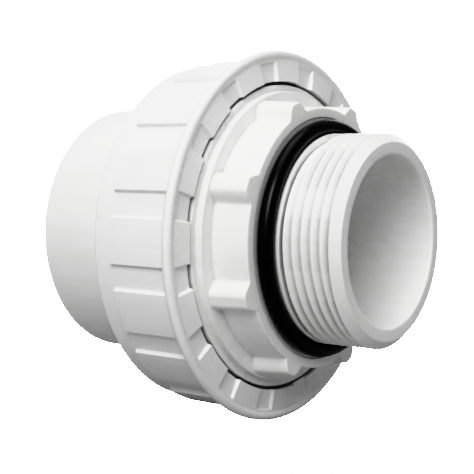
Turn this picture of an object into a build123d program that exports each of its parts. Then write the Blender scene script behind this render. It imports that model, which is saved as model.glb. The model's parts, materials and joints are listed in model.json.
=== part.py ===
from build123d import *
from math import cos, radians, sin, tan
import os

# A barrel union for pipe: a male threaded adaptor, a slip-socket tailpiece and the nut that pulls
# them together on a face O-ring. Millimetres. The pipe axis is X. The origin is where that axis
# meets the seat, the face of the wrench boss that closes on a pump or tank wall. +X leaves through
# the male thread, -X through the pipe socket, and +Z is up.

# Male pipe thread, G 1 1/2 (11 threads per inch, right-hand)
PORT_LENGTH = 18.0
PORT_PITCH = 25.4 / 11
PORT_MAJOR_R = 47.8 / 2
PORT_MINOR_R = 44.84 / 2
PORT_FLANK_DEG = 27.5
PORT_CREST = 0.42          # flat left on the thread's crest
PORT_LEAD_IN = 1.9         # chamfer on the free end
PORT_CREST_X = 14.2        # middle of a crest, at PORT_CLOCK_DEG
PORT_CLOCK_DEG = 180.0
PORT_BEAD_X = 3.0          # the plain bead that holds the O-ring on its neck starts here
PORT_BEAD_WIDTH = 0.9
PORT_RELIEF_WIDTH = 1.1    # plain groove between that bead and the thread
PORT_RIDGE_ROOT = 0.2      # how far the thread's ridge is sunk into its core
RING_PROUD = 0.02          # how far the plain bead stands above the crests
LEAD_IN_X = PORT_LENGTH - PORT_LEAD_IN
WATERWAY_R = 19.0
MOUTH_CHAMFER = 0.7

# Port O-ring, 47.22 x 3.53, standing free in a shallow recess in the seat
PORT_RING_WIRE = 3.53
PORT_RING_R = (47.22 + PORT_RING_WIRE) / 2
NECK_R = 47.16 / 2
SEAT_RECESS_DEPTH = 0.25
SEAT_RECESS_FLOOR_R = 27.5
SEAT_RECESS_MOUTH_R = 27.7

# Wrench boss: a round hub with wedge-sided lobes
BOSS_LENGTH = 9.1
BOSS_R = 30.3              # hub radius at its back end
BOSS_DRAFT_DEG = 3.0
BOSS_LOBES = 8
BOSS_CLOCK_DEG = 24.7      # middle of the first lobe, from +Y towards +Z
LOBE_TIP_R = 33.0
LOBE_TIP_WIDTH = 4.0
LOBE_FOOT_WIDTH = 7.0      # at the hub's skin
LOBE_ROUND = 1.5
BOSS_EDGE_ROUND = 0.3
BOSS_CORE_R = 29.0

# Disc behind the boss, and the collar that carries the union thread
DISC_R = 33.8
COLLAR_FACE_X = -10.8
COLLAR_R = 35.3
COLLAR_BACK_X = -13.3

# Union thread, right-hand trapezoidal; the nut's profile is the adaptor's plus these clearances
UNION_PITCH = 3.0
UNION_MAJOR_R = 35.0
UNION_DEPTH = 1.5
UNION_BASE_HALF = 1.05     # half width of the adaptor's ridge at its root
UNION_FLANK_DEG = 15.0
RADIAL_CLEARANCE = 0.3
FLANK_CLEARANCE = 0.15
RIDGE_ROOT = 0.4           # how far a ridge is sunk into the wall it stands on
ADAPTOR_RIDGE_X = -14.55   # middle of the adaptor's ridge at its front end
ADAPTOR_RIDGE_TURNS = 2.9
NUT_RIDGE_TURNS = 2.9
NUT_RIDGE_X = ADAPTOR_RIDGE_X - 3 * UNION_PITCH    # middle of its rear end, half a turn from the adaptor's

# Sealing plane and tailpiece
SEAL_X = -24.0
THROAT_R = 23.0
THROAT_FLARE_X = -15.0
THROAT_TAPER_X = -8.0
FLANGE_R = 33.5
FLANGE_THICKNESS = 5.0
TAIL_R = 61.0 / 2
TAIL_END_X = -60.2
TAIL_RIM_ROUND = 1.0
SOCKET_R = 50.2 / 2        # slip socket for 50 mm pipe
SOCKET_DEPTH = 32.0
SOCKET_LEAD = 1.0

# Face O-ring, 3.53 wire, squeezed to the depth of its groove when the nut is tight
FACE_RING_R = 27.8
FACE_GROOVE_DEPTH = 2.65
FACE_GROOVE_WIDTH = 4.6
FACE_RING_WIDTH = 4.26

# Union nut. Its face is a shallow cone, lowest in the crease inside the rim's bead.
NUT_BACK_X = -33.8
NUT_BARREL_R = 40.4
NUT_PAD_R = 41.3
NUT_PAD_BACK_X = -28.7
NUT_BACK_ROUND = 0.6
NUT_SIDES = 16
NUT_CLOCK_DEG = 13.7       # middle of the first recess, from +Y towards +Z
RECESS_DEG = 7.8
RIM_R = 43.3
RIM_FRONT_X = -10.3
RIM_BACK_X = -12.5
RIM_ROUND = 1.05
CREASE_X = -10.5
CREASE_R = 41.4
MOUTH_X = -10.2
MOUTH_R = 36.3
MOUTH_BACK_X = -13.9
LIP_FRONT_X = SEAL_X - FLANGE_THICKNESS
LIP_R = 30.85
POCKET_DEG = 8.4
POCKET_FLOOR_X = -11.2
POCKET_OUTER_R = 40.7
EDGE_BREAK = 0.4

AXIS = Plane.YZ            # local X, Y and Z of this plane are the model's Y, Z and X
SLACK = 1.0                # how far a cutting shape runs past the material it cuts


def turned(*outline):
    """A ring whose section is a closed outline of (x, radius) corners."""
    face = make_face(Polyline(*outline, close=True))
    return revolve(Plane.XZ * face, Axis.X)


def wound(section, pitch, turns, radius):
    """A right-hand helical bar about X from x = 0, its section given as (radius, x) corners."""
    path = Helix(pitch=pitch, height=pitch * turns, radius=radius)
    face = Plane.XZ * make_face(Polyline(*section, close=True))
    return AXIS * sweep(face, path=path, is_frenet=True)


def turn_to(shape, x, degrees):
    """The shape moved along X, and turned about X from +Y towards +Z."""
    return Pos(x, 0, 0) * (Rot(degrees, 0, 0) * shape)


def sector(inner_r, outer_r, degrees):
    """A flat ring sector centred on local X, on the plane across the pipe axis."""
    half = radians(degrees / 2)
    reach = outer_r + SLACK
    corner = (reach * cos(half), reach * sin(half))
    wedge = make_face(Polyline((0, 0), (corner[0], -corner[1]), corner, close=True))
    return (Circle(outer_r) - Circle(inner_r)) & wedge


def port_thread_ridge():
    """The male thread's ridge, wound between the relief groove and the lead-in ring."""
    slope = tan(radians(PORT_FLANK_DEG))
    root_r = PORT_MINOR_R - PORT_RIDGE_ROOT
    crest_r = PORT_MAJOR_R - RING_PROUD
    half_crest = PORT_CREST / 2
    half_foot = half_crest + slope * (crest_r - root_r)
    section = [(root_r, -half_foot), (crest_r, -half_crest), (crest_r, half_crest), (root_r, half_foot)]
    thread_x = PORT_BEAD_X + PORT_BEAD_WIDTH + PORT_RELIEF_WIDTH
    start_x = thread_x - half_foot - SLACK
    turns = (LEAD_IN_X + SLACK - start_x) / PORT_PITCH
    bar = wound(section, PORT_PITCH, turns, root_r)
    crest_turns = (PORT_CREST_X - start_x) / PORT_PITCH
    bar = turn_to(bar, start_x, PORT_CLOCK_DEG - 360 * crest_turns)
    end_x = PORT_LENGTH - SLACK / 2
    envelope = turned(
        (thread_x, root_r - SLACK),
        (thread_x, PORT_MAJOR_R + SLACK),
        (LEAD_IN_X - SLACK, PORT_MAJOR_R + SLACK - RING_PROUD),
        (end_x, PORT_MAJOR_R - PORT_LEAD_IN + PORT_LENGTH - end_x - RING_PROUD),
        (end_x, root_r - SLACK),
    )
    return bar & envelope


def wrench_boss():
    """The round hub with its lobes, tapering towards the seat."""
    lobe = make_face(Polyline(
        (BOSS_CORE_R, -LOBE_FOOT_WIDTH / 2),
        (BOSS_R, -LOBE_FOOT_WIDTH / 2),
        (LOBE_TIP_R, -LOBE_TIP_WIDTH / 2),
        (LOBE_TIP_R, LOBE_TIP_WIDTH / 2),
        (BOSS_R, LOBE_FOOT_WIDTH / 2),
        (BOSS_CORE_R, LOBE_FOOT_WIDTH / 2),
        close=True,
    ))
    lobe = fillet(lobe.vertices().group_by(Axis.X)[-1], LOBE_ROUND)
    outline = Circle(BOSS_R)
    for step in range(BOSS_LOBES):
        outline += Rot(0, 0, step * 360 / BOSS_LOBES) * lobe
    boss = extrude(outline, BOSS_LENGTH, taper=BOSS_DRAFT_DEG)
    boss = fillet(boss.faces().sort_by(Axis.Z)[-1].edges(), BOSS_EDGE_ROUND)
    hollow = Cylinder(BOSS_CORE_R - SLACK / 4, 4 * BOSS_LENGTH)
    return turn_to(AXIS * (boss - hollow), -BOSS_LENGTH, BOSS_CLOCK_DEG)


def adaptor_body():
    """Everything turned on the adaptor: waterway, thread blank, neck, seat, disc and collar."""
    core_r = UNION_MAJOR_R - UNION_DEPTH
    bead_front_x = PORT_BEAD_X + PORT_BEAD_WIDTH
    bead_lead = PORT_MAJOR_R - NECK_R
    return turned(
        (PORT_LENGTH, WATERWAY_R + MOUTH_CHAMFER),
        (PORT_LENGTH, PORT_MAJOR_R - PORT_LEAD_IN),
        (LEAD_IN_X, PORT_MAJOR_R),
        (LEAD_IN_X, PORT_MINOR_R),
        (bead_front_x, PORT_MINOR_R),
        (bead_front_x, PORT_MAJOR_R),
        (PORT_BEAD_X, PORT_MAJOR_R),
        (PORT_BEAD_X - bead_lead, NECK_R),
        (-SEAT_RECESS_DEPTH, NECK_R),
        (-SEAT_RECESS_DEPTH, SEAT_RECESS_FLOOR_R),
        (0, SEAT_RECESS_MOUTH_R),
        (0, BOSS_CORE_R),
        (-BOSS_LENGTH, BOSS_CORE_R),
        (-BOSS_LENGTH, DISC_R - EDGE_BREAK / 2),
        (-BOSS_LENGTH - EDGE_BREAK / 2, DISC_R),
        (COLLAR_FACE_X, DISC_R),
        (COLLAR_FACE_X, COLLAR_R - EDGE_BREAK / 2),
        (COLLAR_FACE_X - EDGE_BREAK / 2, COLLAR_R),
        (COLLAR_BACK_X, COLLAR_R),
        (COLLAR_BACK_X, core_r),
        (SEAL_X + EDGE_BREAK, core_r),
        (SEAL_X, core_r - EDGE_BREAK),
        (SEAL_X, THROAT_R),
        (THROAT_FLARE_X, THROAT_R),
        (THROAT_TAPER_X, WATERWAY_R),
        (PORT_LENGTH - MOUTH_CHAMFER, WATERWAY_R),
    )


def ridge_half(radius):
    """Half width of the adaptor's union ridge at a radius."""
    return UNION_BASE_HALF - (radius - UNION_MAJOR_R + UNION_DEPTH) * tan(radians(UNION_FLANK_DEG))


def adaptor_ridge():
    """The adaptor's union thread ridge, trimmed at the sealing face's edge."""
    root_r = UNION_MAJOR_R - UNION_DEPTH - RIDGE_ROOT
    foot = ridge_half(root_r)
    crest = ridge_half(UNION_MAJOR_R)
    section = [(root_r, -foot), (UNION_MAJOR_R, -crest), (UNION_MAJOR_R, crest), (root_r, foot)]
    bar = wound(section, UNION_PITCH, ADAPTOR_RIDGE_TURNS, root_r)
    start_x = ADAPTOR_RIDGE_X - ADAPTOR_RIDGE_TURNS * UNION_PITCH
    bar = turn_to(bar, start_x, -360 * ADAPTOR_RIDGE_TURNS)
    edge_r = UNION_MAJOR_R - UNION_DEPTH - EDGE_BREAK
    end_x = SEAL_X + EDGE_BREAK / 2
    keep = turned(
        (COLLAR_FACE_X, root_r - SLACK),
        (COLLAR_FACE_X, UNION_MAJOR_R + SLACK),
        (end_x + UNION_MAJOR_R + SLACK - edge_r, UNION_MAJOR_R + SLACK),
        (end_x, edge_r),
        (end_x, root_r - SLACK),
    )
    return bar & keep


def threaded_adaptor():
    return adaptor_body() + port_thread_ridge() + wrench_boss() + adaptor_ridge()


def nut_shell():
    """The turned shape of the nut: barrel, rim bead, face, mouth, thread bore and rear lip."""
    bore_r = UNION_MAJOR_R + RADIAL_CLEARANCE
    outline = make_face(Polyline(
        (MOUTH_X, MOUTH_R),
        (CREASE_X, CREASE_R),
        (RIM_FRONT_X, CREASE_R + RIM_FRONT_X - CREASE_X),
        (RIM_FRONT_X, RIM_R),
        (RIM_BACK_X, RIM_R),
        (RIM_BACK_X, NUT_BARREL_R),
        (NUT_BACK_X, NUT_BARREL_R),
        (NUT_BACK_X, LIP_R),
        (LIP_FRONT_X, LIP_R),
        (LIP_FRONT_X, bore_r),
        (MOUTH_BACK_X, bore_r),
        (MOUTH_BACK_X + EDGE_BREAK, MOUTH_R),
        close=True,
    ))
    rim = outline.vertices().group_by(Axis.Y)[-1]
    outline = fillet(rim, RIM_ROUND)
    back = outline.vertices().group_by(Axis.X)[0]
    outline = fillet(back.sort_by(Axis.Y)[-1], NUT_BACK_ROUND)
    return revolve(Plane.XZ * outline, Axis.X)


def nut_ridge():
    """The nut's internal thread ridge: the adaptor's groove, less the clearances."""
    crest_r = UNION_MAJOR_R - UNION_DEPTH + RADIAL_CLEARANCE
    root_r = UNION_MAJOR_R + RADIAL_CLEARANCE + RIDGE_ROOT
    crest = UNION_PITCH / 2 - ridge_half(crest_r) - FLANK_CLEARANCE
    foot = UNION_PITCH / 2 - ridge_half(root_r) - FLANK_CLEARANCE
    section = [(root_r, -foot), (crest_r, -crest), (crest_r, crest), (root_r, foot)]
    bar = wound(section, UNION_PITCH, NUT_RIDGE_TURNS, root_r)
    return turn_to(bar, NUT_RIDGE_X, 180)


def grip_pads():
    """The raised pads round the barrel, one between each two recesses."""
    pad = extrude(sector(NUT_BARREL_R - SLACK, NUT_PAD_R, 360 / NUT_SIDES - RECESS_DEG),
                  RIM_BACK_X - NUT_PAD_BACK_X)
    half_step = 180 / NUT_SIDES
    return [turn_to(AXIS * pad, NUT_PAD_BACK_X, NUT_CLOCK_DEG + half_step + step * 360 / NUT_SIDES)
            for step in range(NUT_SIDES)]


def face_pockets():
    """The shallow pockets in the nut's face, open to the mouth, in line with the recesses."""
    floor = sector(MOUTH_R - SLACK, POCKET_OUTER_R, POCKET_DEG)
    pocket = extrude(floor, MOUTH_X + SLACK - POCKET_FLOOR_X)
    return [turn_to(AXIS * pocket, POCKET_FLOOR_X, NUT_CLOCK_DEG + step * 360 / NUT_SIDES)
            for step in range(NUT_SIDES)]


def union_nut():
    return nut_shell() + grip_pads() - face_pockets() + nut_ridge()


def tailpiece():
    """The slip socket and its flange, with the groove for the face O-ring."""
    groove_inner = FACE_RING_R - FACE_GROOVE_WIDTH / 2
    groove_outer = FACE_RING_R + FACE_GROOVE_WIDTH / 2
    socket_end_x = TAIL_END_X + SOCKET_DEPTH
    blank = turned(
        (SEAL_X, THROAT_R),
        (SEAL_X, groove_inner),
        (SEAL_X - FACE_GROOVE_DEPTH, groove_inner),
        (SEAL_X - FACE_GROOVE_DEPTH, groove_outer),
        (SEAL_X, groove_outer),
        (SEAL_X, FLANGE_R - EDGE_BREAK),
        (SEAL_X - EDGE_BREAK, FLANGE_R),
        (LIP_FRONT_X, FLANGE_R),
        (LIP_FRONT_X, TAIL_R),
        (TAIL_END_X, TAIL_R),
        (TAIL_END_X, SOCKET_R + SOCKET_LEAD),
        (TAIL_END_X + SOCKET_LEAD, SOCKET_R),
        (socket_end_x, SOCKET_R),
        (socket_end_x, THROAT_R),
    )
    end_rings = blank.edges().filter_by(GeomType.CIRCLE).group_by(Axis.X)[0]
    rim = end_rings.sort_by(SortBy.RADIUS)[-1]
    return fillet(rim, TAIL_RIM_ROUND)


def face_o_ring():
    """The squeezed ring: a flat oval that just fills the depth of its groove."""
    section = SlotOverall(FACE_RING_WIDTH, FACE_GROOVE_DEPTH, rotation=90)
    place = Pos(SEAL_X - FACE_GROOVE_DEPTH / 2, FACE_RING_R)
    return revolve(Plane.XZ * (place * section), Axis.X)


def port_o_ring():
    """The free ring lying on the floor of the seat's recess."""
    place = Pos(PORT_RING_WIRE / 2 - SEAT_RECESS_DEPTH, PORT_RING_R)
    return revolve(Plane.XZ * (place * Circle(PORT_RING_WIRE / 2)), Axis.X)


def write_parts():
    os.makedirs("parts", exist_ok=True)
    for make in (threaded_adaptor, port_o_ring, union_nut, tailpiece, face_o_ring):
        export_step(make(), f"parts/{make.__name__}.step")


write_parts()
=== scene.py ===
import json
from math import acos, atan2, ceil, cos, degrees, floor, pi, radians, sin, tan

import bmesh
import bpy
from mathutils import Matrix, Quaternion, Vector


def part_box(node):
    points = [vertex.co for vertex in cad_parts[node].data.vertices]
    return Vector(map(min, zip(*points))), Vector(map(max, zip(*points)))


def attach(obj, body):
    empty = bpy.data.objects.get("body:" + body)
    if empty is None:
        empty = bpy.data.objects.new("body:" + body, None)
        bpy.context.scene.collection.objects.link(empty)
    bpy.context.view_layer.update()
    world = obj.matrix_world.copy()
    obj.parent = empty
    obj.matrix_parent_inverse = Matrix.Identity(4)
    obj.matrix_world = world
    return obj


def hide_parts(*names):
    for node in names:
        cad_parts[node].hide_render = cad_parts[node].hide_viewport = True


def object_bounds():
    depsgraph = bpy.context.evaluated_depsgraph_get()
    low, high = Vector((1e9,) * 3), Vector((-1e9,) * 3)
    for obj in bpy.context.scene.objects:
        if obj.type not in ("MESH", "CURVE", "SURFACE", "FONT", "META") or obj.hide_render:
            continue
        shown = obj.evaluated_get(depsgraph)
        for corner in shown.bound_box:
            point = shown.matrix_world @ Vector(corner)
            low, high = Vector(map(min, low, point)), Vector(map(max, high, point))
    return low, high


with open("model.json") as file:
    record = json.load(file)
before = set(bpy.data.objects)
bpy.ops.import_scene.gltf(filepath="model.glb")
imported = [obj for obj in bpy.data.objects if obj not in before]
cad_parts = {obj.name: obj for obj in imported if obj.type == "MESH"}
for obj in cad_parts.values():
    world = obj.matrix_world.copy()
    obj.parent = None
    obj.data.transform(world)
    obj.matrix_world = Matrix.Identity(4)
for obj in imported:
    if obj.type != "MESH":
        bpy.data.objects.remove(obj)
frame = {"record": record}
bpy.context.view_layer.update()
cad_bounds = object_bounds()

# A white pipe union on a pale floor. Outlines are (x, radius) points in millimetres, with x along the
# pipe axis as in the CAD frame, and angles are degrees from +Y towards +Z. Each piece is one closed
# skin about X that stands for the CAD node of the same name, with its moulded edges rounded.

MM = 0.001


def reach(node):
    """Where a CAD node starts and ends along X, and its outer radius, in millimetres."""
    low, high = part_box(node)
    return low.x / MM, high.x / MM, high.y / MM


def dims(mount):
    """The sizes of one of the record's mounts."""
    return next(m["dims"] for m in frame["record"]["mounts"] if m["name"] == mount)


# Sizes that the frame gives
SEAL_X, PORT_END_X, COLLAR_R = reach("threaded_adaptor")
NUT_BACK_X, MOUTH_X, RIM_R = reach("union_nut")
TAIL_END_X, _, FLANGE_R = reach("tailpiece")
PORT_RING_BACK_X, PORT_RING_FRONT_X, PORT_RING_OUTER_R = reach("port_o_ring")
FACE_RING_BACK_X, _, FACE_RING_OUTER_R = reach("face_o_ring")
PORT_MAJOR_R = dims("port_thread")["r_mm"]
SOCKET_R = dims("pipe_socket")["r_mm"]
SOCKET_LEAD = 1.0                          # chamfer at the mouth of the socket
SOCKET_DEPTH = dims("pipe_socket")["length_mm"] + SOCKET_LEAD

# Male thread, G 1 1/2
PORT_PITCH = 25.4 / 11
PORT_DEPTH = 1.48
PORT_FLANK = tan(radians(27.5))
PORT_CREST = 0.42                          # flat left on the crest
PORT_ROUND = 0.22                          # rounding of its crests and roots
PORT_CREST_X = 14.2 - PORT_PITCH / 2       # middle of a crest at angle 0
PORT_FIRST_X = 4.4                         # the ridge rises out of its relief groove from here
PORT_LEAD_IN = 1.9
PORT_BEAD_X = 3.0
PORT_BEAD_WIDTH = 0.9
NECK_R = 23.58
WATERWAY_R = 19.0
MOUTH_ROUND = 0.7

# Throat of the waterway, between the sealing face and the port
THROAT_R = 23.0
THROAT_FLARE_X = -15.0
THROAT_TAPER_X = -8.0
THROAT_ROUND = 3.0

# Seat, wrench boss, disc and collar
RECESS_DEPTH = 0.25
RECESS_FLOOR_R = 27.5
RECESS_MOUTH_R = 27.7
BOSS_LENGTH = 9.1
BOSS_R = 30.3
BOSS_DRAFT = tan(radians(3))
BOSS_CLOCK = 24.7
BOSS_STEP = 45.0
LOBE_TIP_R = 33.0
LOBE_TIP_HALF = 2.0
LOBE_FOOT_HALF = 3.5
LOBE_ROUND = 1.6                           # how widely a lobe's tip is blended into its sides
LOBE_CREASE = 0.5                          # the same at its foot
LOBE_REACH = 8.5                           # degrees from a lobe's middle that need close columns
DISC_R = 33.8
COLLAR_FACE_X = -10.8
COLLAR_BACK_X = -13.3

# Union thread
UNION_PITCH = 3.0
UNION_DEPTH = 1.5
UNION_FLANK = tan(radians(15))
UNION_CORE_R = 33.5
UNION_FOOT = 1.05                          # half width of the adaptor's ridge at its root
UNION_RUNOUT = UNION_PITCH / 4             # how far a ridge takes to rise from nothing
ADAPTOR_RIDGE = (-22.6, -14.55)            # where the middle of the ridge starts and ends
NUT_RIDGE = (-23.55, -14.85)
NUT_RIDGE_X = -25.05                       # middle of the nut's ridge at angle 0
NUT_BORE_R = 35.3
FLANK_CLEARANCE = 0.15
NUT_FOOT = UNION_PITCH / 2 - UNION_FOOT + UNION_DEPTH * UNION_FLANK - FLANK_CLEARANCE

# Tailpiece and its ring
FLANGE_THICKNESS = 5.0
LIP_FRONT_X = SEAL_X - FLANGE_THICKNESS
TAIL_R = 30.5
TAIL_RIM_ROUND = 1.0
FACE_GROOVE_WIDTH = 4.6
FACE_RING_WIDTH = 4.26
FACE_RING_R = FACE_RING_OUTER_R - FACE_RING_WIDTH / 2

# Union nut. Its face is a shallow cone from the mouth down to a crease inside the rim's bead.
RIM_ROUND = 1.1
RIM_BACK_X = -12.5
CREASE_R = 41.5
CREASE_X = -10.7
MOUTH_R = 36.1
MOUTH_BACK_X = -13.9
MOUTH_CHAMFER = 0.4                        # behind the mouth, where the thread starts
BARREL_R = 40.4
PAD_R = 41.3
PAD_BACK_X = -28.7
BACK_ROUND = 0.6
LIP_R = 30.85
NUT_STEP = 22.5
NUT_CLOCK = 13.7
RECESS_HALF = 3.9
POCKET_HALF = 4.2
POCKET_FLOOR_X = -11.2
POCKET_OUTER_R = 40.7
WALL = 0.5                                 # how wide a moulded step is drawn, with its rounded edges
WALL_SHARES = (-0.7, -0.5, -0.35, -0.15, 0.15, 0.35, 0.5, 0.7)

EDGE = 0.2                                 # rounding of a moulded edge
SKIN_GAP = 0.02                            # what keeps two skins that press on each other apart
FADE = 0.3                                 # how fast a thread dies away in front of a plain wall
ROUND_STEP = 1.4                           # widest column of a skin, in degrees
LOBE_STEP = 0.5                            # column on a lobe, in degrees
RING_COLUMNS = 288                         # columns of a skin that is the same all the way round
RING_ROWS = 40                             # points round the section of a rubber ring
FLASH = 0.02                               # height of the fine moulding line on the free ring
HARD_EDGE = 50                             # faces that meet at more degrees than this keep a crisp edge


# ---------------------------------------------------------------- outlines

def ease(t):
    """0 below 0, 1 above 1, and a smooth S between them."""
    t = min(max(t, 0), 1)
    return t * t * (3 - 2 * t)


def smooth_min(a, b, width):
    """The smaller of two lengths, rounded off where they cross."""
    near = max(width - abs(a - b), 0) / width
    return min(a, b) - near * near * width / 4


def blunt(x, ends, width):
    """1 between two ends, easing to 0 over a width inside each of them."""
    return ease((x - ends[0]) / width) * ease((ends[1] - x) / width)


def arc(at, back, on, radius, steps):
    """The points of the arc that rounds a corner between the directions back and on."""
    back = back.normalized()
    on = on.normalized()
    half = acos(back.dot(on)) / 2
    centre = at + (back + on).normalized() * radius / sin(half)
    start = at + back * radius / tan(half) - centre
    end = at + on * radius / tan(half) - centre
    swing = pi - 2 * half
    points = []
    for step in range(steps + 1):
        t = step / steps
        spoke = (start * sin((1 - t) * swing) + end * sin(t * swing)) / sin(swing)
        points.append(tuple(centre + spoke))
    return points


def rounded(*corners, steps=3):
    """An open outline. A corner given as (x, radius, rounding) becomes an arc."""
    points = []
    for index, corner in enumerate(corners):
        at = Vector(corner[:2])
        if len(corner) == 2:
            points.append(tuple(at))
        else:
            back = Vector(corners[index - 1][:2]) - at
            on = Vector(corners[index + 1][:2]) - at
            points += arc(at, back, on, corner[2], steps)
    return points


def tooth(pitch, depth, crest, foot, crest_round, root_round):
    """One pitch of thread as (offset, height) points, from root to root, less the last."""
    outline = rounded(
        (-pitch / 2, 0),
        (-foot, 0, root_round),
        (-crest, depth, crest_round),
        (crest, depth, crest_round),
        (foot, 0, root_round),
        (pitch / 2, 0),
        steps=2,
    )
    return outline[:-1]


# ---------------------------------------------------------------- skins

def plain(points):
    """A stretch of a skin with the same outline all the way round."""
    return lambda angle: points, 0


def shaped(outline):
    """A stretch of a skin whose outline depends on the angle."""
    return outline, 0


def wound(start_x, end_x, pitch, middle_x, profile, radius):
    """A right-hand thread between two plain rings, its rows following the helix.

    radius gives the skin's radius from x, the profile's height and the x of the ridge's middle."""
    low, high = sorted((start_x, end_x))
    first = floor((low - middle_x) / pitch) - 3
    last = ceil((high - middle_x) / pitch) + 2

    def outline(angle):
        points = []
        for turn in range(first, last):
            middle = middle_x + pitch * (turn + angle / 360)
            for offset, height in profile:
                x = min(max(middle + offset, low), high)
                points.append((x, radius(x, height, middle)))
        return points if start_x < end_x else points[::-1]

    step = len(profile) if start_x < end_x else -len(profile)
    return outline, step


def full_circle(count):
    """Evenly spaced angles round the axis."""
    return [360 * step / count for step in range(count)]


def skin(name, angles, zones):
    """One closed mesh about X from a list of zones that together go once round its outline."""
    partner = []
    for outline, step in zones:
        count = len(outline(angles[0]))
        first = len(partner)
        partner += [first + min(max(row + step, 0), count - 1) for row in range(count)]
    rows = range(len(partner))
    points, faces, columns = [], [], []
    for angle in angles:
        known = {}
        column = []
        for outline, _ in zones:
            for x, r in outline(angle):
                key = (round(x, 4), round(r, 4))
                if key not in known:
                    known[key] = len(points)
                    turn = radians(angle)
                    points.append((x * MM, r * cos(turn) * MM, r * sin(turn) * MM))
                column.append(known[key])
        columns.append(column)
    columns.append([columns[0][row] for row in partner])
    for here, there in zip(columns, columns[1:]):
        for row in rows:
            below = (row + 1) % len(rows)
            corners = dict.fromkeys((here[row], here[below], there[below], there[row]))
            if len(corners) > 2:
                faces.append(tuple(corners))
    mesh = bpy.data.meshes.new(name)
    mesh.from_pydata(points, [], faces)
    return finished(name, mesh)


def mirrored(middles, offsets):
    """The angles at every offset to both sides of every middle, in order."""
    angles = set()
    for middle in middles:
        for offset in offsets:
            angles |= {round((middle + side * offset) % 360, 5) for side in (-1, 1)}
    return sorted(angles)


def finished(name, mesh):
    """The mesh as a piece, with its faces outward and shaded smooth between hard edges."""
    shape = bmesh.new()
    shape.from_mesh(mesh)
    bmesh.ops.recalc_face_normals(shape, faces=shape.faces)
    shape.to_mesh(mesh)
    shape.free()
    mesh.shade_smooth()
    mesh.set_sharp_from_angle(angle=radians(HARD_EDGE))
    piece = bpy.data.objects.new(name, mesh)
    bpy.context.scene.collection.objects.link(piece)
    weighted = piece.modifiers.new("even_shading", "WEIGHTED_NORMAL")
    weighted.keep_sharp = True
    return piece


# ---------------------------------------------------------------- threaded adaptor

def adaptor_angles():
    """The skin's columns, closer together on the lobes."""
    half = {LOBE_STEP * step for step in range(round(LOBE_REACH / LOBE_STEP) + 1)}
    rest = BOSS_STEP / 2 - LOBE_REACH
    parts = ceil(rest / ROUND_STEP)
    half |= {LOBE_REACH + rest * part / parts for part in range(1, parts + 1)}
    middles = [BOSS_CLOCK + BOSS_STEP * k for k in range(round(360 / BOSS_STEP))]
    return mirrored(middles, half)


def boss_radius(angle, inset):
    """The boss's radius at an angle: a round hub with wedge-sided lobes, all drawn in by an inset."""
    offset = radians(abs((angle - BOSS_CLOCK + BOSS_STEP / 2) % BOSS_STEP - BOSS_STEP / 2))
    ray = Vector((cos(offset), sin(offset)))
    foot = Vector((BOSS_R, LOBE_FOOT_HALF))
    side = Vector((LOBE_TIP_R, LOBE_TIP_HALF)) - foot
    outward_side = Vector((-side.y, side.x)).normalized()
    tip = (LOBE_TIP_R - inset) / ray.x
    flank = (outward_side.dot(foot) - inset) / outward_side.dot(ray)
    lobe = smooth_min(tip, flank, LOBE_ROUND)
    return -smooth_min(-lobe, inset - BOSS_R, LOBE_CREASE)


def port_radius(x, height, middle):
    """The male thread's skin. The ridge rises out of the relief groove; its groove ends at the lead-in."""
    low = PORT_BEAD_X + PORT_BEAD_WIDTH
    high = PORT_END_X - PORT_LEAD_IN
    runout = PORT_PITCH / 4
    raised = height * ease((x - low) / FADE) * ease((middle - PORT_FIRST_X) / runout)
    groove_middle = middle + (PORT_PITCH / 2 if x > middle else -PORT_PITCH / 2)
    cut = ease((high - x) / FADE) * ease((high - groove_middle) / runout)
    return PORT_MAJOR_R - (PORT_DEPTH - raised) * cut


def adaptor_union_radius(x, height, middle):
    """The adaptor's union thread, its ridge easing out at both ends."""
    return UNION_CORE_R + height * blunt(middle, ADAPTOR_RIDGE, UNION_RUNOUT)


def port_thread():
    crest = PORT_CREST / 2
    foot = crest + PORT_DEPTH * PORT_FLANK
    profile = tooth(PORT_PITCH, PORT_DEPTH, crest, foot, PORT_ROUND, PORT_ROUND)
    start_x = PORT_END_X - PORT_LEAD_IN
    return wound(start_x, PORT_BEAD_X + PORT_BEAD_WIDTH, PORT_PITCH, PORT_CREST_X, profile, port_radius)


def adaptor_union_thread():
    crest = UNION_FOOT - UNION_DEPTH * UNION_FLANK
    profile = tooth(UNION_PITCH, UNION_DEPTH, crest, UNION_FOOT, 0.2, 0.15)
    start_x = COLLAR_BACK_X - EDGE
    end_x = SEAL_X + EDGE
    return wound(start_x, end_x, UNION_PITCH, ADAPTOR_RIDGE[1], profile, adaptor_union_radius)


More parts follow.
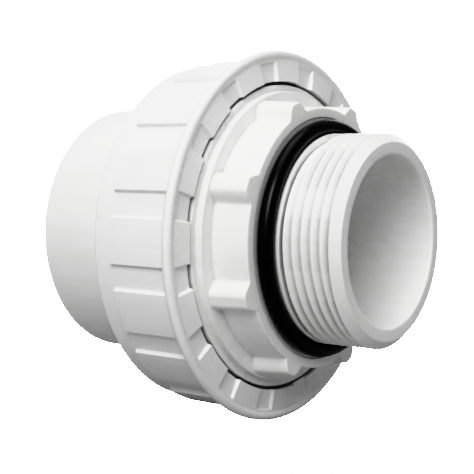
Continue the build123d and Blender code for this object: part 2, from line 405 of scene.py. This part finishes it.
def threaded_adaptor():
    """Round the section: port mouth, male thread, seat, boss, collar, union thread and waterway."""
    mouth = rounded(
        (0, WATERWAY_R),
        (PORT_END_X, WATERWAY_R, MOUTH_ROUND),
        (PORT_END_X, PORT_MAJOR_R - PORT_LEAD_IN, 2 * EDGE),
        (PORT_END_X - PORT_LEAD_IN, PORT_MAJOR_R),
        steps=5,
    )
    bead_front_x = PORT_BEAD_X + PORT_BEAD_WIDTH
    bead_lead = PORT_MAJOR_R - NECK_R
    seat = rounded(
        (bead_front_x, PORT_MAJOR_R - PORT_DEPTH),
        (bead_front_x, PORT_MAJOR_R, EDGE / 2),
        (PORT_BEAD_X, PORT_MAJOR_R, EDGE / 2),
        (PORT_BEAD_X - bead_lead, NECK_R, EDGE / 2),
        (-RECESS_DEPTH, NECK_R, EDGE / 2),
        (-RECESS_DEPTH, RECESS_FLOOR_R, EDGE / 2),
        (0, RECESS_MOUTH_R, EDGE / 2),
        (0, RECESS_MOUTH_R + EDGE),
    )

    def boss(angle):
        back = boss_radius(angle, 0)
        front = boss_radius(angle, BOSS_LENGTH * BOSS_DRAFT)
        return rounded(
            (0, front - 3 * EDGE),
            (0, front, 1.5 * EDGE),
            (-BOSS_LENGTH, back, EDGE / 2),
            (-BOSS_LENGTH, back + EDGE),
        )

    collar = rounded(
        (-BOSS_LENGTH, LOBE_TIP_R + EDGE),
        (-BOSS_LENGTH, DISC_R, EDGE),
        (COLLAR_FACE_X, DISC_R, EDGE),
        (COLLAR_FACE_X, COLLAR_R, EDGE),
        (COLLAR_BACK_X, COLLAR_R, EDGE),
        (COLLAR_BACK_X, UNION_CORE_R, EDGE),
        (COLLAR_BACK_X - EDGE, UNION_CORE_R),
    )
    inside = rounded(
        (SEAL_X + EDGE, UNION_CORE_R),
        (SEAL_X, UNION_CORE_R - 2 * EDGE, EDGE),
        (SEAL_X, THROAT_R, EDGE),
        (THROAT_FLARE_X, THROAT_R, THROAT_ROUND),
        (THROAT_TAPER_X, WATERWAY_R, THROAT_ROUND),
        (THROAT_TAPER_X / 2, WATERWAY_R),
    )
    zones = [plain(mouth), port_thread(), plain(seat), shaped(boss), plain(collar)]
    zones += [adaptor_union_thread(), plain(inside)]
    return skin("threaded_adaptor_skin", adaptor_angles(), zones)


# ---------------------------------------------------------------- union nut

def from_recess(angle):
    """How many degrees an angle is from the middle of the nearest recess."""
    return abs((angle - NUT_CLOCK + NUT_STEP / 2) % NUT_STEP - NUT_STEP / 2)


def pad_share(angle):
    """1 on a grip pad, 0 in a recess."""
    wall = degrees(WALL / PAD_R)
    return ease((from_recess(angle) - RECESS_HALF) / wall + 0.5)


def pocket_share(angle):
    """1 in a face pocket, 0 between two."""
    wall = degrees(WALL / PAD_R)
    return ease((POCKET_HALF - from_recess(angle)) / wall + 0.5)


def nut_angles():
    """The skin's columns, closer together at the walls of recesses and pockets."""
    wall = degrees(WALL / PAD_R)
    half = {0.0, NUT_STEP / 2}
    for edge in (RECESS_HALF, POCKET_HALF):
        half |= {edge + wall * share for share in WALL_SHARES}
    for low, high in ((0, RECESS_HALF - wall), (POCKET_HALF + wall, NUT_STEP / 2)):
        parts = ceil((high - low) / ROUND_STEP)
        half |= {low + (high - low) * part / parts for part in range(parts + 1)}
    middles = [NUT_CLOCK + NUT_STEP * k for k in range(round(360 / NUT_STEP))]
    return mirrored(middles, half)


def nut_face(angle):
    """Mouth edge, and the cone of the face with its pockets, out to the crease inside the bead."""
    radii = [MOUTH_R + EDGE / 2, MOUTH_R + 1.5, MOUTH_R + 3]
    radii += [POCKET_OUTER_R + WALL * share for share in WALL_SHARES] + [CREASE_R - EDGE]
    points = []
    for r in radii:
        cone_x = MOUTH_X + (CREASE_X - MOUTH_X) * (r - MOUTH_R) / (CREASE_R - MOUTH_R)
        sunk = pocket_share(angle) * ease((POCKET_OUTER_R - r) / WALL + 0.5)
        points.append((cone_x + (POCKET_FLOOR_X - cone_x) * sunk, r))
    edge_x = points[0][0]
    return [(edge_x - EDGE / 2, MOUTH_R), (edge_x - EDGE / 8, MOUTH_R + EDGE / 8)] + points


def nut_barrel(angle):
    """From the rim's back over the grip pads to the rounded back edge."""
    raised = (PAD_R - BARREL_R) * pad_share(angle)
    top = BARREL_R + raised
    points = rounded(
        (RIM_BACK_X, RIM_R - RIM_ROUND - EDGE),
        (RIM_BACK_X, top, 2 * EDGE),
        (RIM_BACK_X - 1, top),
    )
    points += [(RIM_BACK_X + (PAD_BACK_X - RIM_BACK_X) * share, top) for share in (0.3, 0.5, 0.7, 0.9)]
    for share in reversed(WALL_SHARES):
        points.append((PAD_BACK_X + WALL * share, BARREL_R + raised * ease(share + 0.5)))
    return points


def nut_radius(x, height, middle):
    """The nut's union thread, its ridge easing out at both ends."""
    return NUT_BORE_R - height * blunt(middle, NUT_RIDGE, UNION_RUNOUT)


def nut_thread():
    depth = UNION_DEPTH
    crest = NUT_FOOT - depth * UNION_FLANK
    profile = tooth(UNION_PITCH, depth, crest, NUT_FOOT, 0.12, 0.12)
    return wound(LIP_FRONT_X + 2 * EDGE, MOUTH_BACK_X, UNION_PITCH, NUT_RIDGE_X, profile, nut_radius)


def bead():
    """The rim's round bead, from the crease in the face over the top to its back."""
    middle = Vector((RIM_BACK_X + RIM_ROUND, RIM_R - RIM_ROUND))
    crease = Vector((CREASE_X, CREASE_R)) - middle
    start = degrees(atan2(crease.y, crease.x))
    steps = 16
    turns = [radians(start + (180 - start) * step / steps) for step in range(steps + 1)]
    return [(middle.x + RIM_ROUND * cos(turn), middle.y + RIM_ROUND * sin(turn)) for turn in turns]


def union_nut():
    """Round the section: face, bead, barrel, back and rear lip, thread and mouth."""
    back = rounded(
        (PAD_BACK_X - 1, BARREL_R),
        (NUT_BACK_X, BARREL_R, BACK_ROUND),
        (NUT_BACK_X, LIP_R, 2 * EDGE),
        (LIP_FRONT_X, LIP_R, EDGE),
        (LIP_FRONT_X, NUT_BORE_R, 2 * EDGE),
        (LIP_FRONT_X + 2 * EDGE, NUT_BORE_R),
        steps=6,
    )
    mouth = rounded(
        (MOUTH_BACK_X, NUT_BORE_R),
        (MOUTH_BACK_X + MOUTH_CHAMFER, MOUTH_R, EDGE),
        (POCKET_FLOOR_X - 2 * EDGE, MOUTH_R),
    )
    zones = [shaped(nut_face), plain(bead()), shaped(nut_barrel), plain(back)]
    zones += [nut_thread(), plain(mouth)]
    return skin("union_nut_skin", nut_angles(), zones)


# ---------------------------------------------------------------- tailpiece and seals

def tailpiece():
    """The slip socket and its flange, with the groove for the face O-ring."""
    groove_floor = FACE_RING_BACK_X
    groove_inner = FACE_RING_R - FACE_GROOVE_WIDTH / 2
    groove_outer = FACE_RING_R + FACE_GROOVE_WIDTH / 2
    outline = rounded(
        (SEAL_X - 2, THROAT_R),
        (SEAL_X, THROAT_R, EDGE),
        (SEAL_X, groove_inner, EDGE),
        (groove_floor, groove_inner, EDGE),
        (groove_floor, groove_outer, EDGE),
        (SEAL_X, groove_outer, EDGE),
        (SEAL_X, FLANGE_R, 2 * EDGE),
        (LIP_FRONT_X, FLANGE_R, EDGE),
        (LIP_FRONT_X, TAIL_R, EDGE),
        (TAIL_END_X, TAIL_R, TAIL_RIM_ROUND),
        (TAIL_END_X, SOCKET_R + SOCKET_LEAD, EDGE),
        (TAIL_END_X + SOCKET_LEAD, SOCKET_R, EDGE),
        (TAIL_END_X + SOCKET_DEPTH, SOCKET_R, EDGE),
        (TAIL_END_X + SOCKET_DEPTH, THROAT_R, EDGE),
        (TAIL_END_X + SOCKET_DEPTH + 1, THROAT_R),
        steps=5,
    )
    return skin("tailpiece_skin", full_circle(RING_COLUMNS), [plain(outline)])


def ring(name, middle_x, middle_r, half_x, half_r, flash):
    """A rubber ring of rounded section, with the fine moulding line round its inside and outside."""
    section = []
    for step in range(RING_ROWS):
        turn = 2 * pi * step / RING_ROWS
        line = flash if step in (0, RING_ROWS // 2) else 0
        x = middle_x + half_x * sin(turn)
        r = middle_r + (half_r + line) * cos(turn)
        section.append((x, r))
    return skin(name, full_circle(RING_COLUMNS), [plain(section)])


def port_o_ring():
    """The free ring that lies in the seat's recess."""
    half = (PORT_RING_FRONT_X - PORT_RING_BACK_X) / 2
    middle_x = (PORT_RING_FRONT_X + PORT_RING_BACK_X) / 2
    return ring("port_o_ring_skin", middle_x, PORT_RING_OUTER_R - half, half, half, FLASH)


def face_o_ring():
    """The squeezed ring, a flat oval a hair thinner than its groove."""
    half_x = (SEAL_X - FACE_RING_BACK_X) / 2
    half_r = FACE_RING_WIDTH / 2
    return ring("face_o_ring_skin", SEAL_X - half_x, FACE_RING_R, half_x - SKIN_GAP, half_r, 0)


# ---------------------------------------------------------------- materials

# how far the painted crevice shade looks for a nearby surface
PAINTED_SHADE_REACH = 1.8 * MM
SKIN_IOR = 1.5


def add(tree, kind, settings=None, **inputs):
    """A node with its settings and inputs; an input is a value or another node's output."""
    made = tree.nodes.new(kind)
    for name, value in (settings or {}).items():
        setattr(made, name, value)
    for name, value in inputs.items():
        socket = made.inputs[name.replace("_", " ")]
        if isinstance(value, bpy.types.NodeSocket):
            tree.links.new(value, socket)
        else:
            socket.default_value = value
    return made


def blank(name):
    """A new material, its node tree and its shader."""
    material = bpy.data.materials.new(name)
    material.use_nodes = True
    tree = material.node_tree
    return material, tree, tree.nodes["Principled BSDF"]


def ramp(tree, factor, *stops):
    """A colour ramp from (position, colour) stops."""
    made = add(tree, "ShaderNodeValToRGB", Fac=factor)
    elements = made.color_ramp.elements
    for index, (position, colour) in enumerate(stops):
        element = elements[index] if index < 2 else elements.new(position)
        element.position = position
        element.color = (*colour, 1)
    return made.outputs["Color"]


def stretched(tree, noise, low, high):
    """The middle of a noise's spread, stretched to run from low to high."""
    made = add(tree, "ShaderNodeMapRange", Value=noise, From_Min=0.3, From_Max=0.7, To_Min=low, To_Max=high)
    return made.outputs["Result"]


def painted_crevice_shade(tree, colour):
    """The colour with painted shade: darker where two surfaces stand close together."""
    open_air = add(tree, "ShaderNodeAmbientOcclusion", {"samples": 8}, Distance=PAINTED_SHADE_REACH).outputs["AO"]
    # Painted shade in crevices: the ramp darkens the colour to 0.3 of itself where the ambient occlusion is
    # deepest.
    depth = ramp(tree, open_air, (0.1, (0.3, 0.3, 0.3)), (0.7, (1.0, 1.0, 1.0)))
    shade_painted_colour = add(tree, "ShaderNodeMix", {"data_type": "RGBA", "blend_type": "MULTIPLY"})
    factor, _, _, _, _, _, first, second = shade_painted_colour.inputs[:8]
    factor.default_value = 1.0
    tree.links.new(colour, first)
    tree.links.new(depth, second)
    return shade_painted_colour.outputs[2]


def moulded_plastic(name, light, shade, gloss):
    """White moulded PVC: faint clouding and flow lines, a satin skin, fine mould grain and painted shade in
    its crevices.
    """
    material, tree, shader = blank(name)
    place = add(tree, "ShaderNodeTexCoord").outputs["Object"]
    cloud = add(tree, "ShaderNodeTexNoise", Vector=place, Scale=55.0, Detail=3.0).outputs["Fac"]
    drawn = add(tree, "ShaderNodeMapping", Vector=place, Scale=(60.0, 700.0, 700.0)).outputs["Vector"]
    flow = add(tree, "ShaderNodeTexNoise", Vector=drawn, Scale=1.0, Detail=4.0).outputs["Fac"]
    grain = add(tree, "ShaderNodeTexNoise", Vector=place, Scale=2600.0, Detail=3.0).outputs["Fac"]
    both = add(tree, "ShaderNodeMath", {"operation": "MULTIPLY"})
    tree.links.new(cloud, both.inputs[0])
    tree.links.new(flow, both.inputs[1])
    colour = ramp(tree, both.outputs["Value"], (0.12, shade), (0.34, light))
    rough = stretched(tree, flow, gloss, gloss + 0.12)
    fine = add(tree, "ShaderNodeBump", Height=grain, Strength=0.25, Distance=0.04 * MM).outputs["Normal"]
    broad = add(tree, "ShaderNodeBump", Height=flow, Strength=0.2, Distance=0.06 * MM, Normal=fine)
    # The base colour carries painted shade in the crevices.
    tree.links.new(painted_crevice_shade(tree, colour), shader.inputs["Base Color"])
    tree.links.new(rough, shader.inputs["Roughness"])
    tree.links.new(broad.outputs["Normal"], shader.inputs["Normal"])
    shader.inputs["IOR"].default_value = SKIN_IOR
    shader.inputs["Subsurface Weight"].default_value = 0.08
    shader.inputs["Subsurface Radius"].default_value = (1.0, 0.95, 0.9)
    shader.inputs["Subsurface Scale"].default_value = 1.2 * MM
    return material


def black_rubber():
    """EPDM rubber: nearly black, with a greased gloss broken by fine rubbing marks."""
    material, tree, shader = blank("black_rubber")
    place = add(tree, "ShaderNodeTexCoord").outputs["Object"]
    grain = add(tree, "ShaderNodeTexNoise", Vector=place, Scale=1800.0, Detail=5.0).outputs["Fac"]
    smear = add(tree, "ShaderNodeTexNoise", Vector=place, Scale=160.0, Detail=3.0).outputs["Fac"]
    colour = ramp(tree, smear, (0.35, (0.0015, 0.0015, 0.0015)), (0.7, (0.003, 0.003, 0.0033)))
    rough = stretched(tree, smear, 0.22, 0.38)
    bump = add(tree, "ShaderNodeBump", Height=grain, Strength=0.3, Distance=0.03 * MM)
    tree.links.new(colour, shader.inputs["Base Color"])
    tree.links.new(rough, shader.inputs["Roughness"])
    tree.links.new(bump.outputs["Normal"], shader.inputs["Normal"])
    shader.inputs["IOR"].default_value = SKIN_IOR
    shader.inputs["Specular IOR Level"].default_value = 0.2
    return material


def floor_paper():
    """Pale studio paper, so brightly lit that the camera sees it plain white."""
    material, tree, shader = blank("floor_paper")
    place = add(tree, "ShaderNodeTexCoord").outputs["Object"]
    fibre = add(tree, "ShaderNodeTexNoise", Vector=place, Scale=900.0, Detail=4.0).outputs["Fac"]
    seen = add(tree, "ShaderNodeLightPath").outputs["Is Camera Ray"]
    bump = add(tree, "ShaderNodeBump", Height=fibre, Strength=0.1, Distance=0.1 * MM)
    tree.links.new(bump.outputs["Normal"], shader.inputs["Normal"])
    shader.inputs["Base Color"].default_value = (0.3, 0.3, 0.3, 1)
    shader.inputs["Roughness"].default_value = 0.9
    shader.inputs["Specular IOR Level"].default_value = 0.1
    glow = add(tree, "ShaderNodeMapRange", Value=seen, To_Min=0.0, To_Max=PAPER_GLOW).outputs["Result"]
    shader.inputs["Emission Color"].default_value = (1, 1, 1, 1)
    tree.links.new(glow, shader.inputs["Emission Strength"])
    return material


# ---------------------------------------------------------------- the object

def place_piece(piece, node, body, material):
    """Gives a piece its material and the body it moves with, and hides the CAD node it stands for."""
    piece.data.materials.append(material)
    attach(piece, body)
    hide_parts(node)


def build_union():
    white = (0.86, 0.86, 0.86)
    adaptor_white = moulded_plastic("adaptor_pvc_satin", white, (0.82, 0.82, 0.81), 0.34)
    nut_white = moulded_plastic("nut_pvc_satin", white, (0.82, 0.82, 0.815), 0.38)
    tail_white = moulded_plastic("tailpiece_pvc_satin", white, (0.815, 0.815, 0.805), 0.36)
    rubber = black_rubber()
    place_piece(threaded_adaptor(), "threaded_adaptor", "adaptor", adaptor_white)
    place_piece(port_o_ring(), "port_o_ring", "adaptor", rubber)
    place_piece(union_nut(), "union_nut", "nut", nut_white)
    place_piece(tailpiece(), "tailpiece", "tailpiece", tail_white)
    place_piece(face_o_ring(), "face_o_ring", "seal", rubber)


# ---------------------------------------------------------------- studio

CAMERA_AIM = Vector((-16.0, -11.9, -0.45))
CAMERA_DISTANCE = 252.6
CAMERA_AZIMUTH = 36.58
CAMERA_ELEVATION = 1.56
CAMERA_ROLL = 2.1
CAMERA_LENS = 83.54
FLOOR_SIZE = 4.0           # metres
PAPER_GLOW = 30.0          # what the camera sees of the paper and the air behind it
AIR_LIGHT = 0.30           # what the object gets from the air
LAMP_DISTANCE = 0.9        # metres
# Soft square lamps: name, azimuth, elevation, size in metres and power in watts
LAMPS = (
    ("key_panel", 23, 33, 0.5, 7.0),
    ("back_panel", 205, 12, 0.7, 4.5),
    ("sky_panel", 0, 85, 0.7, 3.8),
)


def lamp(aim, name, azimuth, elevation, size, power):
    """A soft square lamp that looks at a point."""
    data = bpy.data.lights.new(name, "AREA")
    data.shape = "SQUARE"
    data.size = size
    data.energy = power
    made = bpy.data.objects.new(name, data)
    bpy.context.scene.collection.objects.link(made)
    away = outward(azimuth, elevation)
    made.location = aim + away * LAMP_DISTANCE
    made.rotation_mode = "QUATERNION"
    made.rotation_quaternion = (-away).to_track_quat("-Z", "Y")


def outward(azimuth, elevation):
    """The direction from the object to a viewer; azimuth 0 stands at -Y, 90 at +X."""
    a = radians(azimuth)
    e = radians(elevation)
    return Vector((sin(a) * cos(e), -cos(a) * cos(e), sin(e)))


def camera():
    """The camera, with a long lens, slightly rolled."""
    data = bpy.data.cameras.new("camera")
    data.lens = CAMERA_LENS
    data.sensor_width = 36
    data.clip_start = 0.01
    made = bpy.data.objects.new("camera", data)
    bpy.context.scene.collection.objects.link(made)
    away = outward(CAMERA_AZIMUTH, CAMERA_ELEVATION)
    made.location = (CAMERA_AIM + away * CAMERA_DISTANCE) * MM
    made.rotation_mode = "QUATERNION"
    roll = Quaternion((0, 0, 1), radians(CAMERA_ROLL))
    made.rotation_quaternion = (-away).to_track_quat("-Z", "Y") @ roll
    bpy.context.scene.camera = made


def studio_floor(height):
    """A square of paper under the object."""
    half = FLOOR_SIZE / 2
    mesh = bpy.data.meshes.new("studio_floor")
    corners = [(x * half, y * half, height) for x, y in ((-1, -1), (1, -1), (1, 1), (-1, 1))]
    mesh.from_pydata(corners, [], [(0, 1, 2, 3)])
    mesh.materials.append(floor_paper())
    made = bpy.data.objects.new("studio_floor", mesh)
    bpy.context.scene.collection.objects.link(made)


def studio_air():
    """White behind the object, and a dim even light on it from all round."""
    world = bpy.data.worlds.new("studio_air")
    world.use_nodes = True
    bpy.context.scene.world = world
    tree = world.node_tree
    seen = add(tree, "ShaderNodeLightPath").outputs["Is Camera Ray"]
    glow = add(tree, "ShaderNodeMapRange", Value=seen, To_Min=AIR_LIGHT, To_Max=PAPER_GLOW)
    tree.nodes["Background"].inputs["Color"].default_value = (1, 1, 1, 1)
    tree.links.new(glow.outputs["Result"], tree.nodes["Background"].inputs["Strength"])


def build_studio():
    low, high = cad_bounds
    middle = (low + high) / 2
    studio_floor(low.z)
    studio_air()
    for settings in LAMPS:
        lamp(middle, *settings)
    camera()
    bpy.context.scene.view_settings.view_transform = "Khronos PBR Neutral"


build_union()
build_studio()
